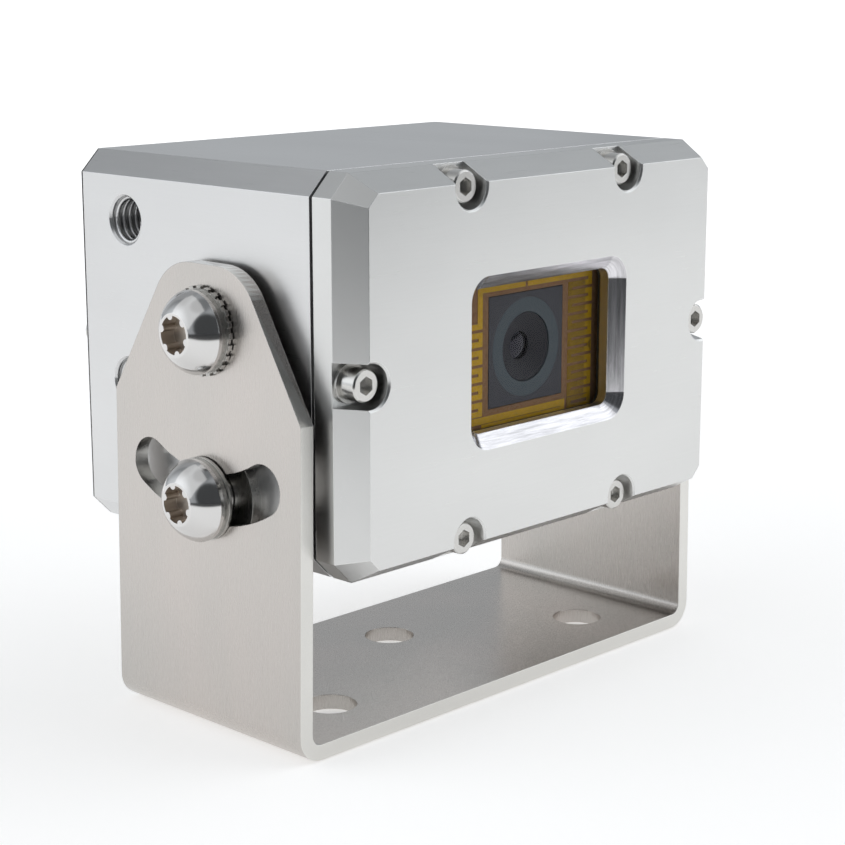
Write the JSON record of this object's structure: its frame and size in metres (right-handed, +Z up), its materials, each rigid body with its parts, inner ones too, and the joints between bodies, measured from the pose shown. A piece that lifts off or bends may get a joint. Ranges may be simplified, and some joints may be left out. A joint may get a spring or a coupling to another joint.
{
  "type": "vehicle camera",
  "caption": "Rectangular machined steel camera with chamfered edges, a bevelled heated window and a rear cable gland, tilting in a bent sheet U-bracket.",
  "frame": {"origin": "centre of the underside of the bracket's base", "axes": "+X across the bracket from arm to arm, -Y the way the lens looks, +Z up from the mounting face"},
  "size_m": [0.0862, 0.0695, 0.072],
  "materials": {
    "bracket_steel": "bent stainless sheet, fine brushed",
    "machined_steel": "milled and fine brushed stainless steel",
    "cover_steel": "milled and fine brushed stainless steel",
    "gasket_rubber": "dark flat gasket",
    "seal_rubber": "black rubber",
    "screw_steel": "turned stainless steel",
    "bolt_steel": "polished stainless steel",
    "washer_steel": "stamped stainless steel",
    "window_glass": "clear flat glass",
    "conductor_gold": "gold coloured printed conductor",
    "film_brown": "brown translucent film",
    "black_aluminium": "black anodised",
    "holder_plastic": "dark moulded plastic",
    "barrel_metal": "dark grey anodised",
    "lens_glass": "coated optical glass",
    "filter_glass": "pale blue filter glass",
    "sensor_black": "sensor package with a glossy face",
    "board_green": "circuit board with solder mask",
    "pillar_brass": "turned brass",
    "chip_black": "moulded chip package",
    "header_plastic": "natural nylon",
    "gland_steel": "turned stainless steel"
  },
  "bodies": {
    "bracket": {"mounting_bracket": "bracket_steel"},
    "camera": {"housing": "machined_steel", "front_cover": "cover_steel", "rear_cover": "cover_steel", "front_gasket": "gasket_rubber", "rear_gasket": "gasket_rubber", "front_cover_screws": "screw_steel", "front_screw_washers": "washer_steel", "rear_cover_screws": "screw_steel", "window_seal": "seal_rubber", "window_glass": "window_glass", "heater_conductor": "conductor_gold", "heater_film": "film_brown", "window_retainer": "black_aluminium", "retainer_screws": "screw_steel", "lens_holder": "holder_plastic", "lens_barrel": "barrel_metal", "front_lens": "lens_glass", "rear_lens": "lens_glass", "infrared_filter": "filter_glass", "image_sensor": "sensor_black", "sensor_board": "board_green", "main_board": "board_green", "front_pillars": "pillar_brass", "rear_pillars": "pillar_brass", "board_screws": "screw_steel", "video_processor": "chip_black", "cable_header": "header_plastic", "gland_body": "gland_steel", "gland_washer": "seal_rubber", "gland_lock_nut": "gland_steel", "gland_nut": "gland_steel", "gland_insert": "seal_rubber", "right_pivot_spacer": "washer_steel", "left_pivot_spacer": "washer_steel", "right_pivot_toothed_washer": "washer_steel", "left_pivot_toothed_washer": "washer_steel", "right_pivot_spring_washer": "washer_steel", "left_pivot_spring_washer": "washer_steel", "right_pivot_bolt": "bolt_steel", "left_pivot_bolt": "bolt_steel", "right_slot_spacer": "washer_steel", "left_slot_spacer": "washer_steel", "right_slot_plain_washer": "washer_steel", "left_slot_plain_washer": "washer_steel", "right_slot_spring_washer": "washer_steel", "left_slot_spring_washer": "washer_steel", "right_slot_bolt": "bolt_steel", "left_slot_bolt": "bolt_steel"}
  },
  "joints": [
    {"name": "tilt", "type": "hinge", "parent": "bracket", "child": "camera", "pos_m": [0, 0, 0.0518], "axis": [1, 0, 0], "range_deg": [-30, 30]}
  ]
}
